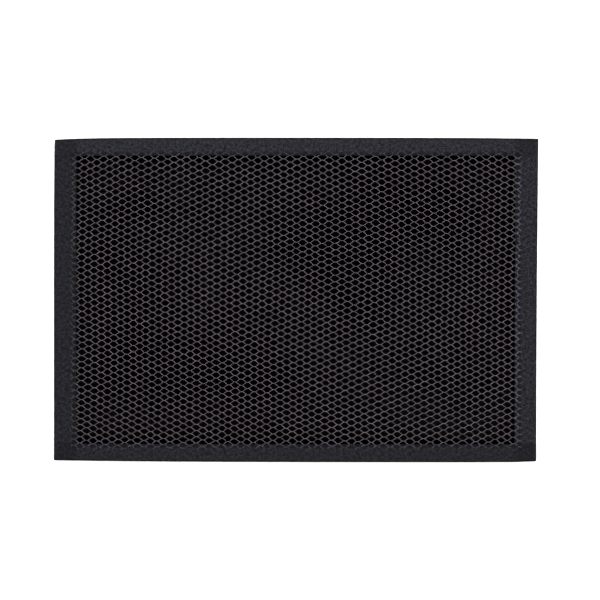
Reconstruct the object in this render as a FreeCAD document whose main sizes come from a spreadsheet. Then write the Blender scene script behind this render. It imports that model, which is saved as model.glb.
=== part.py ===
"""Honeycomb grid for a studio lamp.

Corrugated foil ribbons are bonded crest to crest into an open core, and four strips of cloth
tape are folded over its edges. The panel lies on its back: X runs along the ribbons, Y across
them, and +Z is the front, which faces the subject. The origin is on the surface that the panel
lies on, under its centre. Lengths are in millimetres.
"""

import FreeCAD, Part
import os

from FreeCAD import Placement, Rotation, Vector
import Sketcher

# alias, value, meaning
SIZES = [
    ("PanelWidth", 440, "outside width, over the tape"),
    ("PanelHeight", 295, "outside height, over the tape"),
    ("CoreDepth", 12.7, "depth of the foil core, front to back"),
    ("WallLength", 3.63, "length of one of a cell's six walls"),
    ("FoilCount", 102, "foils in the core, from its bottom edge to its top edge"),
    ("FoilThickness", 0.1, "one foil with its black coating"),
    ("CellGroup", 3, "foils, cells and wall lengths that one modelled one stands for, 1 for each"),
    ("TapeWidth", 50, "cloth tape, before it is folded"),
    ("TapeThickness", 0.3, "cloth tape"),
    ("SideFlange", 20, "tape on the front face along the two short edges"),
    ("LongFlange", 17, "tape on the front face along the two long edges"),
    ("LapRamp", 1.5, "run over which a long tape climbs onto a side tape"),
    ("FoldRadius", 0.25, "outside of a fold in the tape"),
]

# name, expression, meaning
WORKED_OUT = [
    ("CoreWidth", "sizes.PanelWidth - 2 * sizes.TapeThickness", "core inside the tape"),
    ("CoreHeight", "sizes.PanelHeight - 2 * sizes.TapeThickness", "core inside the tape"),
    ("CoreBack", "2 * sizes.TapeThickness", "a side tape and a long tape lie under the core"),
    ("CoreFront", "CoreBack + sizes.CoreDepth", "front face of the core"),
    ("RibbonCount", "round(sizes.FoilCount / sizes.CellGroup)", "modelled ribbons"),
    ("RibbonPitch", "CoreHeight / RibbonCount", "one ribbon to the next"),
    ("RibbonThickness", "sizes.FoilThickness * sizes.CellGroup", "keeps the open area"),
    ("RibbonWall", "sizes.WallLength * sizes.CellGroup", "flat or slope of the corrugation"),
    ("WaveRise", "RibbonPitch - RibbonThickness", "valley to crest, so that neighbours touch"),
    ("WallLean", "asin(WaveRise / RibbonWall)", "how far the core is pulled open"),
    ("SlopeRun", "RibbonWall * cos(WallLean)", "a sloping wall's length along the ribbon"),
    ("WaveLength", "2 * (RibbonWall + SlopeRun)", "one whole corrugation"),
    ("BendShift", "RibbonThickness / 2 * tan(WallLean / 2)", "a mitre's shift at each bend"),
    ("WaveCount", "2 * ceil(CoreWidth / (2 * WaveLength))", "even, so a valley is at X 0"),
    ("TapeAround", "sizes.CoreDepth + 2 * sizes.TapeThickness", "tape used up on the edge"),
    ("SideBackFlange", "sizes.TapeWidth - TapeAround - sizes.SideFlange", "rest of the tape"),
    ("LongBackFlange", "sizes.TapeWidth - TapeAround - sizes.LongFlange", "rest of the tape"),
]
WHOLE_NUMBERS = ("RibbonCount", "WaveCount")
ANGLES = ("WallLean",)


def make_sheet(doc):
    """The driving dimensions, one row each."""
    sheet = doc.addObject("Spreadsheet::Sheet", "sizes")
    for row, (alias, value, meaning) in enumerate(SIZES, start=1):
        sheet.set(f"A{row}", alias)
        sheet.set(f"B{row}", str(value))
        sheet.set(f"C{row}", meaning)
        sheet.setAlias(f"B{row}", alias)
    doc.recompute()
    return sheet


def make_derived(doc):
    """What follows from the driving dimensions, kept live by expressions."""
    derived = doc.addObject("App::VarSet", "derived")
    for name, expression, meaning in WORKED_OUT:
        kind = "App::PropertyFloat"
        if name in WHOLE_NUMBERS:
            kind = "App::PropertyInteger"
        elif name in ANGLES:
            kind = "App::PropertyAngle"
        derived.addProperty(kind, name, "Derived", meaning)
        derived.setExpression(name, expression)
    doc.recompute()
    return derived


def new_sketch(body, name, plane):
    """A sketch on one of the body's own origin planes."""
    sketch = body.newObject("Sketcher::SketchObject", name)
    base = [f for f in body.Origin.OriginFeatures if f.Role == plane][0]
    sketch.AttachmentSupport = (base, [""])
    sketch.MapMode = "FlatFace"
    return sketch


def number(sketch, expression):
    """The present value of an expression, as a plain number of millimetres."""
    value = sketch.evalExpression(expression)
    return float(getattr(value, "Value", value))


def draw_outline(sketch, corners):
    """A closed outline of straight lines, each corner pinned by its X and Y expressions."""
    first = sketch.GeometryCount
    count = len(corners)
    spots = [Vector(number(sketch, x), number(sketch, y), 0) for x, y in corners]
    lines = [Part.LineSegment(spots[i], spots[(i + 1) % count]) for i in range(count)]
    sketch.addGeometry(lines, False)
    joins = [
        Sketcher.Constraint("Coincident", first + i, 2, first + (i + 1) % count, 1)
        for i in range(count)
    ]
    sketch.addConstraint(joins)
    for i, (x, y) in enumerate(corners):
        for kind, expression, spot in (("DistanceX", x, spots[i].x), ("DistanceY", y, spots[i].y)):
            pin = Sketcher.Constraint(kind, -1, 1, first + i, 1, spot)
            index = sketch.addConstraint(pin)
            sketch.setExpression(f"Constraints[{index}]", expression)


def pad(body, sketch, length, symmetric=False):
    """Pad a sketch along its normal, or both ways from it."""
    feature = body.newObject("PartDesign::Pad", sketch.Name + "_pad")
    feature.Profile = sketch
    feature.SideType = "Symmetric" if symmetric else "One side"
    feature.setExpression("Length", length)
    feature.Refine = True
    return feature


def make_ribbon(doc, number_in_core):
    """One corrugated foil ribbon, sawn off flush with the core's two ends.

    Every second ribbon is turned over, so that its valleys meet the crests of the one below.
    """
    body = doc.addObject("PartDesign::Body", f"foil_ribbon_{number_in_core:02d}")
    body.Label = f"foil_ribbon_{number_in_core:02d}"

    wave = new_sketch(body, "wave", "XY_Plane")
    start = "-derived.WaveCount / 2 * derived.WaveLength"
    low, high = "-derived.WaveRise / 2", "derived.WaveRise / 2"
    half, shift = "derived.RibbonThickness / 2", "derived.BendShift"
    half_wall = "derived.RibbonWall / 2"
    crest = f"{start} + {half_wall} + derived.SlopeRun"
    crest_end = f"{crest} + derived.RibbonWall"
    valley = f"{start} + derived.WaveLength - {half_wall}"
    draw_outline(wave, [
        (start, f"{low} - {half}"),
        (f"{start} + {half_wall} + {shift}", f"{low} - {half}"),
        (f"{crest} + {shift}", f"{high} - {half}"),
        (f"{crest_end} - {shift}", f"{high} - {half}"),
        (f"{valley} - {shift}", f"{low} - {half}"),
        (f"{start} + derived.WaveLength", f"{low} - {half}"),
        (f"{start} + derived.WaveLength", f"{low} + {half}"),
        (f"{valley} + {shift}", f"{low} + {half}"),
        (f"{crest_end} + {shift}", f"{high} + {half}"),
        (f"{crest} - {shift}", f"{high} + {half}"),
        (f"{start} + {half_wall} - {shift}", f"{low} + {half}"),
        (start, f"{low} + {half}"),
    ])
    one_wave = pad(body, wave, "sizes.CoreDepth", symmetric=True)

    waves = body.newObject("PartDesign::LinearPattern", "waves")
    waves.Originals = [one_wave]
    waves.Direction = (wave, ["H_Axis"])
    waves.Mode = "Spacing"
    waves.setExpression("Offset", "derived.WaveLength")
    waves.setExpression("Occurrences", "derived.WaveCount")
    waves.Refine = True
    body.Tip = waves

    ends = new_sketch(body, "ends", "XY_Plane")
    for side in ("-", ""):
        saw_cut = f"{side}derived.CoreWidth / 2"
        beyond = f"{side}(derived.WaveCount / 2 + 1) * derived.WaveLength"
        draw_outline(ends, [
            (saw_cut, "-derived.RibbonPitch"),
            (beyond, "-derived.RibbonPitch"),
            (beyond, "derived.RibbonPitch"),
            (saw_cut, "derived.RibbonPitch"),
        ])
    trim = body.newObject("PartDesign::Pocket", "trim")
    trim.Profile = ends
    trim.SideType = "Symmetric"
    trim.setExpression("Length", "2 * sizes.CoreDepth")
    trim.Refine = True

    turned_over = number_in_core % 2 == 0
    body.Placement = Placement(Vector(), Rotation(Vector(1, 0, 0), 180 if turned_over else 0))
    body.setExpression(
        "Placement.Base.y", f"({number_in_core} - 0.5) * derived.RibbonPitch - derived.CoreHeight / 2"
    )
    body.setExpression("Placement.Base.z", "derived.CoreBack + sizes.CoreDepth / 2")
    return body


def round_folds(body, axis, edge_at):
    """Round the tape's two outer folds, by less than its thickness.

    They are the edges that stay at one place on an axis and run along the panel.
    """
    body.Document.recompute()
    folded = body.Tip
    names = []
    for i, edge in enumerate(folded.Shape.Edges, start=1):
        on_fold = all(abs(getattr(v.Point, axis) - edge_at) < 1e-6 for v in edge.Vertexes)
        if on_fold and max(edge.BoundBox.XLength, edge.BoundBox.YLength) > 1:
            names.append(f"Edge{i}")
    fold = body.newObject("PartDesign::Fillet", "fold")
    fold.Base = (folded, names)
    fold.setExpression("Radius", "min(sizes.FoldRadius; 0.9 * sizes.TapeThickness)")
    return fold


def make_side_tape(doc, name, side):
    """Tape folded over a short edge, as long as the core is high. side is -1 left, 1 right."""
    body = doc.addObject("PartDesign::Body", name)
    body.Label = name
    section = new_sketch(body, name + "_section", "XZ_Plane")
    outside = f"{side} * sizes.PanelWidth / 2"
    inside = f"{side} * derived.CoreWidth / 2"
    front_end = f"{side} * (sizes.PanelWidth / 2 - sizes.SideFlange)"
    back_end = f"{side} * (sizes.PanelWidth / 2 - derived.SideBackFlange)"
    back_skin = "derived.CoreBack - sizes.TapeThickness"
    front_skin = "derived.CoreFront + sizes.TapeThickness"
    draw_outline(section, [
        (outside, back_skin),
        (back_end, back_skin),
        (back_end, "derived.CoreBack"),
        (inside, "derived.CoreBack"),
        (inside, "derived.CoreFront"),
        (front_end, "derived.CoreFront"),
        (front_end, front_skin),
        (outside, front_skin),
    ])
    pad(body, section, "derived.CoreHeight", symmetric=True)
    round_folds(body, "x", side * number(section, "sizes.PanelWidth / 2"))
    return body


def make_long_tape(doc, name, side):
    """Tape folded over a long edge, lapping over the ends of both side tapes.

    Over the core its flanges lie on the foil, and past the side tapes' inner edges they have
    climbed one tape thickness. side is -1 for the bottom edge and 1 for the top edge.
    """
    body = doc.addObject("PartDesign::Body", name)
    body.Label = name

    def skin_line(level, outward, side_flange):
        """A flange's face from left to right: low over the core, a step up over a side tape."""
        lap = f"(sizes.PanelWidth / 2 - {side_flange})"
        over = f"{level} {outward} sizes.TapeThickness"
        return [
            ("-sizes.PanelWidth / 2", over),
            (f"-{lap}", over),
            (f"-({lap} - sizes.LapRamp)", level),
            (f"{lap} - sizes.LapRamp", level),
            (lap, over),
            ("sizes.PanelWidth / 2", over),
        ]

    def add_layer(part, outline, depth):
        """Pad an outline from the panel's edge inwards, by that depth."""
        sketch = new_sketch(body, f"{name}_{part}", "XZ_Plane")
        sketch.setExpression("AttachmentOffset.Base.z", f"-({side}) * sizes.PanelHeight / 2")
        draw_outline(sketch, outline)
        layer = pad(body, sketch, depth)
        layer.Reversed = side < 0

    front_under = skin_line("derived.CoreFront", "+", "sizes.SideFlange")
    front_over = skin_line("derived.CoreFront + sizes.TapeThickness", "+", "sizes.SideFlange")
    back_under = skin_line("derived.CoreBack", "-", "derived.SideBackFlange")
    back_over = skin_line("derived.CoreBack - sizes.TapeThickness", "-", "derived.SideBackFlange")
    add_layer("edge", front_over + back_over[::-1], "sizes.TapeThickness")
    add_layer("front", front_over + front_under[::-1], "sizes.LongFlange")
    add_layer("back", back_under + back_over[::-1], "derived.LongBackFlange")
    round_folds(body, "y", side * number(body.Tip, "sizes.PanelHeight / 2"))
    return body


def check(doc, parts):
    """Stop with a message if an object failed or a sub-part is not one sound solid."""
    for item in doc.Objects:
        if "Invalid" in item.State or "Error" in item.State:
            raise RuntimeError(f"{item.Label} failed: {item.State}")
    for part in parts:
        if part.Shape.isNull() or not part.Shape.isValid() or len(part.Shape.Solids) != 1:
            raise RuntimeError(f"{part.Label} is not one valid solid")


def main():
    doc = FreeCAD.newDocument("honeycomb_grid")
    make_sheet(doc)
    derived = make_derived(doc)
    parts = [make_ribbon(doc, i) for i in range(1, derived.RibbonCount + 1)]
    doc.recompute()
    parts.append(make_side_tape(doc, "left_edge_tape", -1))
    parts.append(make_side_tape(doc, "right_edge_tape", 1))
    parts.append(make_long_tape(doc, "bottom_edge_tape", -1))
    parts.append(make_long_tape(doc, "top_edge_tape", 1))
    doc.recompute()
    check(doc, parts)
    os.makedirs("parts", exist_ok=True)
    for part in parts:
        part.Shape.exportStep(f"parts/{part.Label}.step")
        print(part.Label, round(part.Shape.Volume, 1), part.Shape.BoundBox)


main()
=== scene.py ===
"""The looks of a honeycomb grid: a black foil core bound in cloth tape, lying face up."""

import math

import bpy
import numpy as np
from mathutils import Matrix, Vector
from mathutils.bvhtree import BVHTree


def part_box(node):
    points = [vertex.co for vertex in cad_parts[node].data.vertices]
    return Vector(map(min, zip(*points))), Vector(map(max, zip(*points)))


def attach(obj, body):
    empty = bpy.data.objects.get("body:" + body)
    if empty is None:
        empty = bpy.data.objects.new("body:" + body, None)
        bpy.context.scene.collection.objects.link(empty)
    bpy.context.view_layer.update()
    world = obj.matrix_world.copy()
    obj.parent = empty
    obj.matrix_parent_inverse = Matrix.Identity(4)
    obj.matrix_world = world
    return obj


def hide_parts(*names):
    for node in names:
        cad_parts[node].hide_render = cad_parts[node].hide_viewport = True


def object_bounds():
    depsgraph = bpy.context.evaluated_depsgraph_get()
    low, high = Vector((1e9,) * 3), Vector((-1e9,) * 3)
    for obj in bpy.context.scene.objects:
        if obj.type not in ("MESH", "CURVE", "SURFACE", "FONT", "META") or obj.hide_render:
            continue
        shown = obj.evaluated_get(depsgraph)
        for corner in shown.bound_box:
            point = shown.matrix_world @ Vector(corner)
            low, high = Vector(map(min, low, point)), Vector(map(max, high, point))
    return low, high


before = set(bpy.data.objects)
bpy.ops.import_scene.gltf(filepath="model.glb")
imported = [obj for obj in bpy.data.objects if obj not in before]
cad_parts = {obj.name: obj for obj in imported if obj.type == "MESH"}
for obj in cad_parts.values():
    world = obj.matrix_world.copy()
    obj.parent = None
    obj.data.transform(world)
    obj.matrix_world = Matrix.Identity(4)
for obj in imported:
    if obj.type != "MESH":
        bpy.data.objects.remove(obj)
cad_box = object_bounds()

# ---------------------------------------------------------------------------------------------
# Studio: a pale matt floor, and soft light from all sides but not from overhead, so that the
# cells stay dark down to the floor behind them. The camera looks straight down at the front.
# ---------------------------------------------------------------------------------------------
VIEW_WIDTH = 0.5447        # what the square picture takes in at the panel's front face
CAMERA_HEIGHT = 4.0
CAMERA_ASIDE = (0.0035, 0.0)   # how far it stands from over the panel's middle
FLOOR_SIDE = 14.0
FLOOR_GAP = 0.0002         # keeps the floor clear of the tape that lies on it
WALL_GLOW = 0.55           # brightness of the pale walls round the table
WALLS_END = 0.55           # height of a direction, as a sine, where the walls begin to darken
CEILING_BEGINS = 0.66      # and where the dark ceiling begins


def linear(hex_colour):
    """An sRGB hex colour as linear red, green, blue and an alpha of 1."""
    channels = [int(hex_colour[i:i + 2], 16) / 255 for i in (1, 3, 5)]
    return [c / 12.92 if c <= 0.04045 else ((c + 0.055) / 1.055) ** 2.4 for c in channels] + [1.0]


def add(tree, kind, inputs=None, **settings):
    """Add a node to a tree.

    An input is a plain value, an output of another node, or a node, meaning its first output.
    """
    node = tree.nodes.new(kind)
    for name, value in settings.items():
        setattr(node, name, value)
    for key, value in (inputs or {}).items():
        if isinstance(value, bpy.types.Node):
            value = value.outputs[0]
        if isinstance(value, bpy.types.NodeSocket):
            tree.links.new(value, node.inputs[key])
        else:
            node.inputs[key].default_value = value
    return node


def new_material(name):
    """A material with an empty node tree, and that tree."""
    material = bpy.data.materials.new(name)
    material.use_nodes = True
    material.node_tree.nodes.clear()
    return material, material.node_tree


def matt_white_floor():
    """Painted board: even, chalky and very slightly mottled, in patches of about 170 mm."""
    material, tree = new_material("matt_white_board")
    place = add(tree, "ShaderNodeTexCoord").outputs["Object"]
    mottle = add(tree, "ShaderNodeTexNoise", {"Vector": place, "Scale": 6.0, "Detail": 3.0})
    tone = add(tree, "ShaderNodeMix", {
        0: mottle, 6: linear("#f3f3f3"), 7: linear("#f7f7f6"),
    }, data_type="RGBA")
    board = add(tree, "ShaderNodeBsdfPrincipled", {
        "Base Color": tone.outputs[2], "Roughness": 0.9, "Specular IOR Level": 0.2,
    })
    add(tree, "ShaderNodeOutputMaterial", {"Surface": board})
    return material


half = FLOOR_SIDE / 2
floor_mesh = bpy.data.meshes.new("floor")
floor_mesh.from_pydata(
    [(-half, -half, 0), (half, -half, 0), (half, half, 0), (-half, half, 0)], [], [(0, 1, 2, 3)])
floor_mesh.materials.append(matt_white_floor())
floor = bpy.data.objects.new("floor", floor_mesh)
floor.location.z = cad_box[0].z - FLOOR_GAP
bpy.context.scene.collection.objects.link(floor)

# pale walls all round up to half height, and a dark ceiling
world = bpy.data.worlds.new("studio")
world.use_nodes = True
bpy.context.scene.world = world
sky = world.node_tree
sky.nodes.clear()
direction = add(sky, "ShaderNodeTexCoord").outputs["Generated"]
height = add(sky, "ShaderNodeSeparateXYZ", {"Vector": direction}).outputs["Z"]
wall_glow = add(sky, "ShaderNodeMapRange", {
    "Value": height, "From Min": WALLS_END, "From Max": CEILING_BEGINS,
    "To Min": WALL_GLOW, "To Max": 0.0,
}, interpolation_type="SMOOTHSTEP")
wall_light = add(sky, "ShaderNodeBackground", {
    "Color": linear("#ffffff"), "Strength": wall_glow.outputs["Result"],
})
add(sky, "ShaderNodeOutputWorld", {"Surface": wall_light})

# name, azimuth from +X in degrees, elevation, distance, width, power in watts
SOFT_BOXES = [
    ("key_back_right", 62, 38, 1.9, 0.7, 48),
    ("fill_back_left", 138, 36, 2.1, 0.7, 42),
    ("fill_front_left", 218, 36, 2.2, 0.7, 40),
    ("fill_front_right", 318, 36, 2.1, 0.7, 42),
]
for name, azimuth, elevation, distance, width, power in SOFT_BOXES:
    lamp = bpy.data.lights.new(name, "AREA")
    lamp.shape = "SQUARE"
    lamp.size = width
    lamp.energy = power
    soft_box = bpy.data.objects.new(name, lamp)
    a, e = math.radians(azimuth), math.radians(elevation)
    towards = Vector((math.cos(a) * math.cos(e), math.sin(a) * math.cos(e), math.sin(e)))
    soft_box.location = towards * distance
    soft_box.rotation_mode = "QUATERNION"
    soft_box.rotation_quaternion = towards.to_track_quat("Z", "Y")
    bpy.context.scene.collection.objects.link(soft_box)

camera_data = bpy.data.cameras.new("camera")
camera_data.sensor_width = 36.0
camera_data.lens = camera_data.sensor_width * CAMERA_HEIGHT / VIEW_WIDTH
camera_data.clip_end = 30.0
camera = bpy.data.objects.new("camera", camera_data)
camera.location = (*CAMERA_ASIDE, cad_box[1].z + CAMERA_HEIGHT)
bpy.context.scene.collection.objects.link(camera)
bpy.context.scene.camera = camera
bpy.context.scene.view_settings.view_transform = "Standard"

# ---------------------------------------------------------------------------------------------
# Core: thin aluminium foils, corrugated and glued crest to crest, pulled open into six-sided
# cells and dipped in black lacquer. Sawing the slab to size leaves the foils' edges bare. It was
# pulled a little askew, so the foils run slightly downhill and no two cells are quite alike.
# ---------------------------------------------------------------------------------------------
FOILS = 102                # in the core's height; three of them for each CAD ribbon
FOILS_IN_PIECE = 3
CELL_STEP = 0.00587        # from one bond to the next along a foil: half a wave
BOND = 0.0024              # flat stretch that is glued to the next foil
WALL_DRAWN = 0.00022       # a real foil is 0.1 mm, too thin to show, so a wall is drawn this thick
BOND_DRAWN = 0.00010       # and each of the two foils of a bond this thick
WALL_FROM = 0.75           # a foil has a wall's thickness below this much of its crest's height
DOWNHILL = math.tan(math.radians(2.8))
COLUMN_LEAN = math.tan(math.radians(0.75))
BEND = 0.0005              # half the length of the round bend between a bond and a wall
POINTS_IN_BEND = 3
FOLD_ROOM = 0.0008         # the foils stop this far short of the tape's fold
MIDDLE_CELL = (-0.0039, -0.0020)   # how far the cells are from being centred in the panel
# the pull was uneven over many cells, over a few, and from one cell to the next: for each, the
# number of swings in a metre, and how far it can move a cell along the foils and across them
DRIFTS = ((5.0, 0.0062, 0.0024), (20.0, 0.0021, 0.0011), (85.0, 0.0017, 0.0011))
DRIFT_SEED = 4.0
FACING_UP = 0.7            # a face whose normal rises more than this is a sawn edge
# how far the panel's outline is drawn in near each corner, and how quickly that fades along the edge
TOP_AT_LEFT = (0.0019, 0.030)
TOP_AT_RIGHT = (0.0010, 0.050)
BOTTOM_AT_LEFT = (0.0019, 0.100)
BOTTOM_AT_RIGHT = (0.0010, 0.015)
LEFT_AT_TOP = (0.0008, 0.030)
RIGHT_AT_BOTTOM = 0.0019   # the right edge bows in all along, most at its foot
FADE_INWARD = 0.020        # and how quickly all of it fades away from the edge

ribbons = sorted(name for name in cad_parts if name.startswith("foil_ribbon"))
core_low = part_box(ribbons[0])[0]
core_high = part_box(ribbons[-1])[1]
panel_high = cad_box[1]
core_width = core_high.x - core_low.x
core_height = core_high.y - core_low.y
core_depth = core_high.z - core_low.z
foil_pitch = core_height / FOILS


def black_lacquer():
    """Sprayed matt black lacquer over foil: dead black, with a faint dry sheen at a low angle.

    The real grain, about 0.1 mm, is too fine to show and is drawn ten times as coarse.
    """
    material, tree = new_material("matt_black_lacquered_foil")
    place = add(tree, "ShaderNodeTexCoord").outputs["Object"]
    speckle = add(tree, "ShaderNodeTexNoise", {"Vector": place, "Scale": 900.0, "Detail": 4.0})
    coat = add(tree, "ShaderNodeMix", {
        0: speckle, 6: linear("#070206"), 7: linear("#0e070c"),
    }, data_type="RGBA")
    grain = add(tree, "ShaderNodeBump", {
        "Height": speckle, "Strength": 0.3, "Distance": 0.00005,
    })
    lacquer = add(tree, "ShaderNodeBsdfPrincipled", {
        "Base Color": coat.outputs[2], "Roughness": 0.9, "Specular IOR Level": 0.05,
        "Normal": grain,
    })
    add(tree, "ShaderNodeOutputMaterial", {"Surface": lacquer})
    return material


def sawn_edge():
    """Where the saw went through, bare aluminium smeared with black lacquer.

    It is dull grey, and brighter in patches of about 4 mm.
    """
    material, tree = new_material("sawn_foil_edge")
    place = add(tree, "ShaderNodeTexCoord").outputs["Object"]
    smear = add(tree, "ShaderNodeTexNoise", {"Vector": place, "Scale": 260.0, "Detail": 3.0})
    tone = add(tree, "ShaderNodeMix", {
        0: smear, 6: linear("#413b40"), 7: linear("#827880"),
    }, data_type="RGBA")
    edge = add(tree, "ShaderNodeBsdfPrincipled", {
        "Base Color": tone.outputs[2], "Roughness": 0.55, "Specular IOR Level": 0.4,
    })
    add(tree, "ShaderNodeOutputMaterial", {"Surface": edge})
    return material


def foil_tree(wall, edge):
    """Geometry nodes for a few neighbouring foils: a wavy line for each, given its thickness."""
    tree = bpy.data.node_groups.new("corrugated_foils", "GeometryNodeTree")
    tree.interface.new_socket("Geometry", in_out="INPUT", socket_type="NodeSocketGeometry")
    tree.interface.new_socket("Geometry", in_out="OUTPUT", socket_type="NodeSocketGeometry")
    for name, kind in (
        ("First Foil", "NodeSocketInt"), ("Foils", "NodeSocketInt"),
        ("Width", "NodeSocketFloat"), ("Height", "NodeSocketFloat"),
        ("Depth", "NodeSocketFloat"), ("Pitch", "NodeSocketFloat"),
        ("Cell Step", "NodeSocketFloat"), ("Bond", "NodeSocketFloat"),
        ("Wall Thickness", "NodeSocketFloat"), ("Bond Thickness", "NodeSocketFloat"),
        ("Seed", "NodeSocketFloat"),
    ):
        tree.interface.new_socket(name, in_out="INPUT", socket_type=kind)
    given = tree.nodes.new("NodeGroupInput").outputs
    width, height, pitch, step = (given[name] for name in ("Width", "Height", "Pitch", "Cell Step"))

    # points along one foil: a few in each bend, two bends in each half wave, and straight between
    in_half_wave = 2 * POINTS_IN_BEND
    to_fill = add(tree, "ShaderNodeMath", {0: width, 1: step}, operation="DIVIDE")
    whole = add(tree, "ShaderNodeMath", {0: to_fill}, operation="CEIL")
    half_waves = add(tree, "ShaderNodeMath", {0: whole, 1: 2}, operation="ADD")
    count = add(tree, "ShaderNodeMath", {0: half_waves, 1: in_half_wave}, operation="MULTIPLY")
    line = add(tree, "GeometryNodeMeshLine", {"Count": count})
    one_foil = add(tree, "GeometryNodeMeshToCurve", {"Mesh": line})

    # the same line is copied for each foil, and every point knows its foil, half wave and bend
    copies = add(tree, "GeometryNodeDuplicateElements", {
        "Geometry": one_foil, "Amount": given["Foils"],
    }, domain="SPLINE")
    copy = copies.outputs["Duplicate Index"]
    foil = add(tree, "ShaderNodeMath", {0: given["First Foil"], 1: copy}, operation="ADD")
    point = add(tree, "GeometryNodeSplineParameter").outputs["Index"]
    halves = add(tree, "ShaderNodeMath", {0: point, 1: in_half_wave}, operation="DIVIDE")
    half_wave = add(tree, "ShaderNodeMath", {0: halves}, operation="FLOOR")
    in_half = add(tree, "ShaderNodeMath", {0: point, 1: in_half_wave}, operation="FLOORED_MODULO")
    second_bend = add(tree, "ShaderNodeMath", {
        0: in_half, 1: POINTS_IN_BEND - 0.5}, operation="GREATER_THAN")
    in_bend = add(tree, "ShaderNodeMath", {0: point, 1: POINTS_IN_BEND}, operation="FLOORED_MODULO")
    steps = add(tree, "ShaderNodeMath", {0: in_bend, 1: 1}, operation="SUBTRACT")
    from_bend = add(tree, "ShaderNodeMath", {0: steps, 1: BEND}, operation="MULTIPLY")

    # the wall rises from the end of one bond to the start of the next
    half_bond = add(tree, "ShaderNodeMath", {0: given["Bond"], 1: 0.5}, operation="MULTIPLY")
    wall_run = add(tree, "ShaderNodeMath", {0: step, 1: given["Bond"]}, operation="SUBTRACT")
    to_bend = add(tree, "ShaderNodeMath", {0: second_bend, 1: wall_run}, operation="MULTIPLY")
    on_wall = add(tree, "ShaderNodeMath", {0: from_bend, 1: to_bend}, operation="ADD")
    rise = add(tree, "ShaderNodeMath", {0: pitch, 1: given["Bond Thickness"]}, operation="SUBTRACT")
    steepness = add(tree, "ShaderNodeMath", {0: rise, 1: wall_run}, operation="DIVIDE")
    rounding = add(tree, "ShaderNodeMath", {0: steepness, 1: BEND}, operation="MULTIPLY")
    sharp = add(tree, "ShaderNodeMath", {0: on_wall, 1: steepness}, operation="MULTIPLY")
    rounded_foot = add(tree, "ShaderNodeMath", {0: sharp, 1: 0, 2: rounding}, operation="SMOOTH_MAX")
    climb = add(tree, "ShaderNodeMath", {
        0: rounded_foot, 1: rise, 2: rounding}, operation="SMOOTH_MIN")
    crest = add(tree, "ShaderNodeMath", {0: rise, 1: 0.5}, operation="MULTIPLY")
    wave = add(tree, "ShaderNodeMath", {0: climb, 1: crest}, operation="SUBTRACT")

    # x along the core, and the foil's level there, running downhill
    middle = add(tree, "ShaderNodeMath", {0: half_waves, 1: 0.5}, operation="MULTIPLY")
    from_middle = add(tree, "ShaderNodeMath", {0: half_wave, 1: middle}, operation="SUBTRACT")
    bond_middle = add(tree, "ShaderNodeMath", {0: from_middle, 1: step}, operation="MULTIPLY")
    bond_end = add(tree, "ShaderNodeMath", {0: bond_middle, 1: half_bond}, operation="ADD")
    centred_x = add(tree, "ShaderNodeMath", {0: bond_end, 1: on_wall}, operation="ADD")
    x = add(tree, "ShaderNodeMath", {0: centred_x, 1: MIDDLE_CELL[0]}, operation="ADD")
    foils_up = add(tree, "ShaderNodeMath", {0: foil, 1: (FOILS + 1) / 2}, operation="SUBTRACT")
    centred_y = add(tree, "ShaderNodeMath", {0: foils_up, 1: pitch}, operation="MULTIPLY")
    level = add(tree, "ShaderNodeMath", {0: centred_y, 1: MIDDLE_CELL[1]}, operation="ADD")
    drop = add(tree, "ShaderNodeMath", {0: x, 1: DOWNHILL}, operation="MULTIPLY")
    y = add(tree, "ShaderNodeMath", {0: level, 1: drop}, operation="SUBTRACT")

    # a foil is cut off where it runs out of the core
    half_height = add(tree, "ShaderNodeMath", {0: height, 1: 0.5}, operation="MULTIPLY")
    room_y = add(tree, "ShaderNodeMath", {0: half_height, 1: pitch}, operation="SUBTRACT")
    a_cell_wider = add(tree, "ShaderNodeMath", {0: width, 1: step}, operation="ADD")
    room_x = add(tree, "ShaderNodeMath", {0: a_cell_wider, 1: 0.5}, operation="MULTIPLY")
    off_y = add(tree, "ShaderNodeMath", {0: y}, operation="ABSOLUTE")
    off_x = add(tree, "ShaderNodeMath", {0: x}, operation="ABSOLUTE")
    past_y = add(tree, "ShaderNodeMath", {0: off_y, 1: room_y}, operation="GREATER_THAN")
    past_x = add(tree, "ShaderNodeMath", {0: off_x, 1: room_x}, operation="GREATER_THAN")
    outside = add(tree, "ShaderNodeMath", {0: past_y, 1: past_x}, operation="MAXIMUM")

    # every second half wave goes down instead of up, and every second foil is turned over
    turns = add(tree, "ShaderNodeMath", {0: half_wave, 1: foil}, operation="ADD")
    turned = add(tree, "ShaderNodeMath", {0: turns, 1: 2}, operation="FLOORED_MODULO")
    twice = add(tree, "ShaderNodeMath", {0: turned, 1: 2}, operation="MULTIPLY")
    sign = add(tree, "ShaderNodeMath", {0: 1, 1: twice}, operation="SUBTRACT")
    signed_wave = add(tree, "ShaderNodeMath", {0: wave, 1: sign}, operation="MULTIPLY")
    waved_y = add(tree, "ShaderNodeMath", {0: y, 1: signed_wave}, operation="ADD")
    lean = add(tree, "ShaderNodeMath", {0: waved_y, 1: COLUMN_LEAN}, operation="MULTIPLY")
    leaned_x = add(tree, "ShaderNodeMath", {0: x, 1: lean}, operation="ADD")
    place = add(tree, "ShaderNodeCombineXYZ", {"X": leaned_x, "Y": waved_y})

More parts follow.
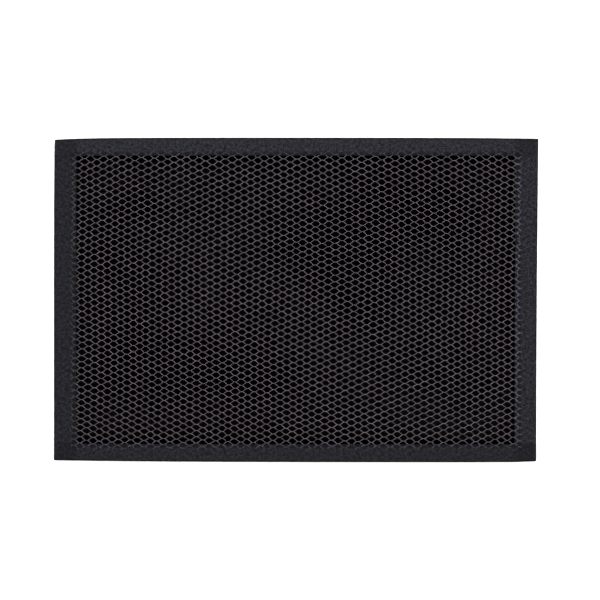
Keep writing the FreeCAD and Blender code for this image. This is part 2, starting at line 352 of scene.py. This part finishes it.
    # the drifts of an uneven pull
    seed = add(tree, "ShaderNodeCombineXYZ", {"Z": given["Seed"]})
    for swings, reach_along, reach_across in DRIFTS:
        sample = add(tree, "ShaderNodeVectorMath", {0: place, 1: seed}, operation="ADD")
        noise = add(tree, "ShaderNodeTexNoise", {"Vector": sample, "Scale": swings, "Detail": 0.0})
        drift = add(tree, "ShaderNodeVectorMath", {
            0: noise.outputs["Color"], 1: (0.5, 0.5, 0.5)}, operation="SUBTRACT")
        reach = add(tree, "ShaderNodeVectorMath", {
            0: drift, 1: (reach_along, reach_across, 0.0)}, operation="MULTIPLY")
        place = add(tree, "ShaderNodeVectorMath", {0: place, 1: reach}, operation="ADD")

    # nothing reaches past the core's own outline
    half_width = add(tree, "ShaderNodeMath", {0: width, 1: 0.5}, operation="MULTIPLY")
    edge_x = add(tree, "ShaderNodeMath", {0: half_width, 1: FOLD_ROOM}, operation="SUBTRACT")
    edge_y = add(tree, "ShaderNodeMath", {0: half_height, 1: FOLD_ROOM}, operation="SUBTRACT")
    high = add(tree, "ShaderNodeCombineXYZ", {"X": edge_x, "Y": edge_y})
    low = add(tree, "ShaderNodeVectorMath", {0: high, 1: (-1.0, -1.0, -1.0)}, operation="MULTIPLY")
    below = add(tree, "ShaderNodeVectorMath", {0: place, 1: high}, operation="MINIMUM")
    place = add(tree, "ShaderNodeVectorMath", {0: below, 1: low}, operation="MAXIMUM")

    # a foil is thin along a bond, and has a wall's whole thickness from the end of the bend
    off_middle = add(tree, "ShaderNodeMath", {0: wave}, operation="ABSOLUTE")
    wall_from = add(tree, "ShaderNodeMath", {0: crest, 1: WALL_FROM}, operation="MULTIPLY")
    bond_share = add(tree, "ShaderNodeMath", {
        0: given["Bond Thickness"], 1: given["Wall Thickness"]}, operation="DIVIDE")
    share = add(tree, "ShaderNodeMapRange", {
        "Value": off_middle, "From Min": crest, "From Max": wall_from,
        "To Min": bond_share, "To Max": 1.0,
    })
    shared = add(tree, "GeometryNodeCaptureAttribute", {"Geometry": copies})
    shared.capture_items.new("FLOAT", "Share")
    tree.links.new(share.outputs[0], shared.inputs["Share"])

    # the lines go to their places, and each becomes an upright strip
    placed = add(tree, "GeometryNodeSetPosition", {"Geometry": shared, "Position": place})
    kept = add(tree, "GeometryNodeDeleteGeometry", {
        "Geometry": placed, "Selection": outside}, domain="POINT")
    upright = add(tree, "GeometryNodeSetCurveNormal", {"Curve": kept}, mode="Z_UP")
    centre = add(tree, "GeometryNodeCaptureAttribute", {"Geometry": upright})
    centre.capture_items.new("VECTOR", "Centre")
    on_line = add(tree, "GeometryNodeInputPosition")
    tree.links.new(on_line.outputs[0], centre.inputs["Centre"])
    section = add(tree, "GeometryNodeCurvePrimitiveQuadrilateral", {
        "Width": given["Wall Thickness"], "Height": given["Depth"]}, mode="RECTANGLE")
    solid = add(tree, "GeometryNodeCurveToMesh", {
        "Curve": centre, "Profile Curve": section, "Fill Caps": True})

    # and the strip is squeezed to its own thickness
    on_face = add(tree, "GeometryNodeInputPosition")
    offset = add(tree, "ShaderNodeVectorMath", {
        0: on_face, 1: centre.outputs["Centre"]}, operation="SUBTRACT")
    squeeze = add(tree, "ShaderNodeCombineXYZ", {
        "X": shared.outputs["Share"], "Y": shared.outputs["Share"], "Z": 1.0})
    squeezed = add(tree, "ShaderNodeVectorMath", {0: offset, 1: squeeze}, operation="MULTIPLY")
    face_place = add(tree, "ShaderNodeVectorMath", {
        0: centre.outputs["Centre"], 1: squeezed}, operation="ADD")
    thinned = add(tree, "GeometryNodeSetPosition", {"Geometry": solid, "Position": face_place})

    # lacquer on the walls, bare metal on the faces that look up or down
    normal = add(tree, "GeometryNodeInputNormal")
    facing = add(tree, "ShaderNodeSeparateXYZ", {"Vector": normal}).outputs["Z"]
    up_or_down = add(tree, "ShaderNodeMath", {0: facing}, operation="ABSOLUTE")
    is_edge = add(tree, "FunctionNodeCompare", {
        0: up_or_down, 1: FACING_UP}, data_type="FLOAT", operation="GREATER_THAN")
    is_wall = add(tree, "FunctionNodeBooleanMath", {0: is_edge}, operation="NOT")
    shaded = add(tree, "GeometryNodeSetShadeSmooth", {"Geometry": thinned, "Shade Smooth": is_wall})
    real = add(tree, "GeometryNodeRealizeInstances", {"Geometry": shaded})
    lacquered = add(tree, "GeometryNodeSetMaterial", {"Geometry": real, "Material": wall})
    sawn = add(tree, "GeometryNodeSetMaterial", {
        "Geometry": lacquered, "Selection": is_edge, "Material": edge})
    add(tree, "NodeGroupOutput", {0: sawn})
    return tree


def grow_piece(name, tree, values):
    """Run a geometry node tree with these inputs and keep the result as a plain mesh."""
    holder = bpy.data.objects.new(name + "_nodes", bpy.data.meshes.new(name + "_nodes"))
    bpy.context.scene.collection.objects.link(holder)
    modifier = holder.modifiers.new("nodes", "NODES")
    modifier.node_group = tree
    for socket in tree.interface.items_tree:
        if socket.in_out == "INPUT" and socket.name in values:
            modifier[socket.identifier] = values[socket.name]
    graph = bpy.context.evaluated_depsgraph_get()
    mesh = bpy.data.meshes.new_from_object(holder.evaluated_get(graph))
    mesh.name = name
    bpy.data.objects.remove(holder)
    piece = bpy.data.objects.new(name, mesh)
    bpy.context.scene.collection.objects.link(piece)
    return piece


def fading(amount, distance, reach):
    """An amount that fades with distance."""
    return amount * np.exp(-distance / reach)


def draw_in(x, y):
    """Where points of the panel move to, because its four edges are not quite straight."""
    from_left, from_right = panel_high.x + x, panel_high.x - x
    from_bottom, from_top = panel_high.y + y, panel_high.y - y
    at_top = (fading(TOP_AT_LEFT[0], from_left, TOP_AT_LEFT[1])
              + fading(TOP_AT_RIGHT[0], from_right, TOP_AT_RIGHT[1]))
    at_bottom = (fading(BOTTOM_AT_LEFT[0], from_left, BOTTOM_AT_LEFT[1])
                 + fading(BOTTOM_AT_RIGHT[0], from_right, BOTTOM_AT_RIGHT[1]))
    at_left = fading(LEFT_AT_TOP[0], from_top, LEFT_AT_TOP[1])
    at_right = RIGHT_AT_BOTTOM * np.sin(from_top / panel_high.y * math.pi / 4)
    new_x = x + fading(at_left, from_left, FADE_INWARD) - fading(at_right, from_right, FADE_INWARD)
    new_y = y + fading(at_bottom, from_bottom, FADE_INWARD) - fading(at_top, from_top, FADE_INWARD)
    return new_x, new_y


foils = foil_tree(black_lacquer(), sawn_edge())
# running downhill brings more foils in at the top left and the bottom right: this many, and two
# more for the cells being off centre
EXTRA_FOILS = math.ceil(core_width / 2 * DOWNHILL / foil_pitch) + 2
foil_pieces = []
for index, ribbon in enumerate(ribbons):
    first = index * FOILS_IN_PIECE + 1
    last = first + FOILS_IN_PIECE - 1
    if index == 0:
        first -= EXTRA_FOILS
    if index == len(ribbons) - 1:
        last += EXTRA_FOILS
    piece = grow_piece(f"foils_{index + 1:02d}", foils, {
        "First Foil": first, "Foils": last - first + 1,
        "Width": core_width, "Height": core_height, "Depth": core_depth,
        "Pitch": foil_pitch, "Cell Step": CELL_STEP, "Bond": BOND,
        "Wall Thickness": WALL_DRAWN, "Bond Thickness": BOND_DRAWN, "Seed": DRIFT_SEED,
    })
    # it is lifted to the core's own height, and follows the outline
    corners = np.empty(3 * len(piece.data.vertices))
    piece.data.vertices.foreach_get("co", corners)
    x, y, z = corners.reshape(-1, 3).T
    lifted = np.stack([*draw_in(x, y), z + (core_low.z + core_high.z) / 2], axis=-1)
    piece.data.vertices.foreach_set("co", lifted.ravel())
    piece.data.update()
    foil_pieces.append(piece)
    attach(piece, "root")
    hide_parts(ribbon)

# ---------------------------------------------------------------------------------------------
# Edge tape: black cloth tape, 50 mm wide, folded over each edge and rubbed down on both faces, the
# short edges first. It sinks a little between the foils under it, most along its loose edge, where
# its grey is painted lighter over the foils as painted highlights on the ridges and darker between
# them as painted shade in the dips, and it is painted darker round the folds as painted shade.
# ---------------------------------------------------------------------------------------------
TAPE_WIDTH = 0.050
SIDE_FRONT = 0.020         # about how far it reaches in on the front face at the short edges
LONG_FRONT = 0.017         # and at the long edges
FOLD = 0.0012              # outer radius of the fold
FOLD_SHADE = 0.00192       # how far in from the fold the cloth is painted darker, painted shade where the fold turns from the light
LAP_RAMP = 0.0015          # run over which a long tape climbs onto a side tape
LAP_TONE = 0.58            # how grey the cloth is over the side tapes, against the rest of its strip
TAPE_STEP = 0.0006         # spacing of the mesh on the front face
BACK_STEP = 3 * TAPE_STEP  # and on the back, where no cells show
LOOSE_STRIP = 0.0055       # how far in from its edge the cloth shows each cell
LOOSEST_STRIP = 0.0022     # and how far in it is quite loose
SUNK_FROM = 0.0017         # the cloth has sunk all the way this far from a foil
SINK_LOOSE = 0.00045       # how far it sinks into a cell where it is loose, and where it is firm
SINK_FIRM = 0.00012
HIGHLIGHT_FADES = 0.0007        # how far from a foil its painted highlight on the cloth is gone
SHOWN_FIRM = 0.1           # how much of the painted highlights and shade over the foils still shows where the cloth is firm
DIP_SHADE = 0.8             # how much of its grey the loose cloth lacks between two foils, painted shade in the dips
THREAD = 0.0010            # real thread is about 0.5 mm apart, drawn coarser so that it shows
THREAD_RUN = 0.0035        # how far a thick or thin place in a thread runs

tape_thick = core_low.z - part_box("left_edge_tape")[0].z
around = core_high.z - core_low.z + 2 * tape_thick
side_back = TAPE_WIDTH - around - SIDE_FRONT
long_back = TAPE_WIDTH - around - LONG_FRONT


def foil_finder(pieces):
    """A search tree over all the foils."""
    points, faces = [], []
    for piece in pieces:
        first = len(points)
        points.extend(v.co for v in piece.data.vertices)
        faces.extend([first + i for i in face.vertices] for face in piece.data.polygons)
    return BVHTree.FromPolygons(points, faces)


def smooth(value, low, high):
    """0 below low, 1 above high, and a smooth step between."""
    t = np.clip((value - low) / (high - low), 0, 1)
    return t * t * (3 - 2 * t)


def tape_section(front, back, front_z, back_z):
    """Across the tape's outer face, from its edge on the front round to its edge on the back.

    Gives distance in from the panel's edge, height, and distance along the cloth.
    """
    flat_front = np.linspace(front, FOLD, round((front - FOLD) / TAPE_STEP))[:-1]
    turn = np.radians(np.arange(0, 91, 15))
    web = np.linspace(front_z - FOLD, back_z + FOLD, 8)[1:-1]
    flat_back = np.linspace(FOLD, back, round((back - FOLD) / BACK_STEP))[1:]
    inward = np.concatenate([
        flat_front, FOLD - FOLD * np.sin(turn), np.zeros(len(web)),
        FOLD - FOLD * np.cos(turn), flat_back])
    height = np.concatenate([
        np.full(len(flat_front), front_z), front_z - FOLD + FOLD * np.cos(turn), web,
        back_z + FOLD - FOLD * np.sin(turn), np.full(len(flat_back), back_z)])
    steps = np.hypot(np.diff(inward), np.diff(height))
    return inward, height, np.concatenate([[0], np.cumsum(steps)])


def looseness(x, y, side_flange, long_flange):
    """1 at the edge of the opening that the four tapes leave, and 0 where they are firm."""
    outside = np.maximum(np.abs(x) - panel_high.x + side_flange,
                         np.abs(y) - panel_high.y + long_flange)
    return 1 - smooth(outside, LOOSEST_STRIP, LOOSE_STRIP)


def cloth_mesh(name, points, cloth_place, grey, turned_over):
    """A mesh from a grid of points, with each point's place on the cloth and how grey it is."""
    rows, columns = grey.shape
    corner = np.arange(rows * columns).reshape(rows, columns)
    quads = np.stack([corner[:-1, :-1], corner[1:, :-1], corner[1:, 1:], corner[:-1, 1:]],
                     axis=-1).reshape(-1, 4)
    if turned_over:
        quads = quads[:, ::-1]
    mesh = bpy.data.meshes.new(name)
    mesh.from_pydata(points.reshape(-1, 3).tolist(), [], quads.tolist())
    uv = cloth_place.reshape(-1, 2)[quads.ravel()]
    mesh.uv_layers.new(name="cloth").data.foreach_set("uv", uv.ravel())
    mesh.attributes.new("grey", "FLOAT", "POINT").data.foreach_set("value", grey.ravel())
    mesh.materials.append(cloth_material)
    mesh.shade_smooth()
    return mesh


def fold_tape(name, along_x, side, front, tone, grey_and_highlight):
    """One strip of tape over one edge. side is -1 for left or bottom, 1 for right or top.

    front is the flange on the front face. tone is how grey the cloth is, from 0 to 1: its own grey
    with painted light, as each side is drawn lighter or darker.
    The last argument is how much lighter the cloth is painted over the foils along its loose edge, a
    painted highlight on the ridges.
    """
    back = TAPE_WIDTH - around - front
    length = 2 * panel_high.x if along_x else core_height
    front_z = core_high.z + tape_thick
    back_z = core_low.z - tape_thick
    across, height, cloth = tape_section(front, back, front_z, back_z)
    along = np.linspace(-length / 2, length / 2, round(length / TAPE_STEP) + 1)
    s, u = np.meshgrid(along, across, indexing="ij")
    z = np.tile(height, (len(along), 1))
    on_front = smooth(z, front_z - FOLD, front_z)
    on_back = 1 - smooth(z, back_z, back_z + FOLD)
    x, y = (s, side * (panel_high.y - u)) if along_x else (side * (panel_high.x - u), s)

    # over the ends of the side tapes the long tapes climb one thickness, and their grey is drawn
    # darker there
    if along_x:
        from_end = panel_high.x - np.abs(x)
        lapped = 1 - smooth(from_end, SIDE_FRONT, SIDE_FRONT + LAP_RAMP)
        z += tape_thick * on_front * lapped
        z -= tape_thick * on_back * (1 - smooth(from_end, side_back, side_back + LAP_RAMP))
        tone = tone * (1 - (1 - LAP_TONE) * lapped)

    # the foils lift the cloth, and it sinks between them
    x, y = draw_in(x, y)
    face_z = np.where(on_front > 0, core_high.z, core_low.z)
    spots = np.stack([x, y, face_z], axis=-1)
    gap = np.array([find_foil(spot)[3] for spot in spots.reshape(-1, 3)]).reshape(x.shape)
    loose = np.where(on_front > 0, looseness(x, y, SIDE_FRONT, LONG_FRONT),
                     looseness(x, y, side_back, long_back))
    sink = (SINK_FIRM + (SINK_LOOSE - SINK_FIRM) * loose) * smooth(gap, 0, SUNK_FROM)
    z += sink * (on_back - on_front)
    # the grey: painted highlights over the foils and painted shade in the dips between them,
    # strongest where the cloth is loose
    on_foil = 1 - smooth(gap, 0, HIGHLIGHT_FADES)
    shown = SHOWN_FIRM + (1 - SHOWN_FIRM) * loose
    grey = tone + shown * (grey_and_highlight * on_foil - DIP_SHADE * tone * (1 - on_foil))
    # painted shade: the grey is taken down to black round the fold
    grey *= smooth(u, 0, FOLD_SHADE)

    points = np.stack([x, y, z], axis=-1)
    cloth_place = np.stack([s, np.tile(cloth, (len(along), 1))], axis=-1)
    mesh = cloth_mesh(name, points, cloth_place, grey, turned_over=along_x != (side > 0))
    piece = bpy.data.objects.new(name.replace("edge_tape", "cloth_tape"), mesh)
    bpy.context.scene.collection.objects.link(piece)
    thickness = piece.modifiers.new("thickness", "SOLIDIFY")
    thickness.thickness = tape_thick
    thickness.offset = -1
    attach(piece, "root")
    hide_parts(name)


def black_cloth_tape():
    """Woven cotton under a thin black plastic coat: matt and uneven, with its grey painted on: the
    cloth's own grey with painted light for each side, painted highlights over the foils and painted
    shade in the dips and round the folds.
    """
    material, tree = new_material("black_coated_cloth")
    place = add(tree, "ShaderNodeUVMap", uv_map="cloth")

    # uneven threads one way and then the other, and the higher one shows
    threads = []
    for run_x, run_y in ((THREAD_RUN, THREAD), (THREAD, THREAD_RUN)):
        stretched = add(tree, "ShaderNodeVectorMath", {
            0: place, 1: (1 / run_x, 1 / run_y, 1.0)}, operation="MULTIPLY")
        threads.append(add(tree, "ShaderNodeTexNoise", {
            "Vector": stretched, "Scale": 1.0, "Detail": 1.0}))
    weave = add(tree, "ShaderNodeMath", {0: threads[0], 1: threads[1]}, operation="MAXIMUM")
    bump = add(tree, "ShaderNodeBump", {"Height": weave, "Strength": 0.6, "Distance": 0.0004})
    # the noise lies mostly between these two levels, and a high thread is rubbed greyer
    unevenness = add(tree, "ShaderNodeMapRange", {
        "Value": weave, "From Min": 0.46, "From Max": 0.66, "To Min": 0.2, "To Max": 1.9})
    # the grey attribute holds the cloth's own grey with painted light: painted brightness for each
    # side, painted highlights over the foils and painted shade in the dips and round the folds
    grey = add(tree, "ShaderNodeAttribute", attribute_name="grey").outputs["Fac"]
    grey_and_highlight = add(tree, "ShaderNodeMath", {0: grey, 1: unevenness}, operation="MULTIPLY")
    tone = add(tree, "ShaderNodeMix", {
        0: grey_and_highlight, 6: linear("#060607"), 7: linear("#44434e")}, data_type="RGBA")
    cloth = add(tree, "ShaderNodeBsdfPrincipled", {
        "Base Color": tone.outputs[2], "Roughness": 0.8, "Specular IOR Level": 0.05,
        "Normal": bump,
    })
    add(tree, "ShaderNodeOutputMaterial", {"Surface": cloth})
    return material


find_foil = foil_finder(foil_pieces).find_nearest
cloth_material = black_cloth_tape()
# each side's tone is the cloth's own grey with painted light: the same tape is drawn lightest at the
# top and darkest at the left. The last argument sets how strong the painted highlight over the foils
# is on each side.
fold_tape("left_edge_tape", along_x=False, side=-1, front=0.0205, tone=0.078, grey_and_highlight=0.27)
fold_tape("right_edge_tape", along_x=False, side=1, front=0.021, tone=0.105, grey_and_highlight=0.48)
fold_tape("bottom_edge_tape", along_x=True, side=-1, front=0.0165, tone=0.088, grey_and_highlight=0.25)
fold_tape("top_edge_tape", along_x=True, side=1, front=0.0164, tone=0.138, grey_and_highlight=0.12)
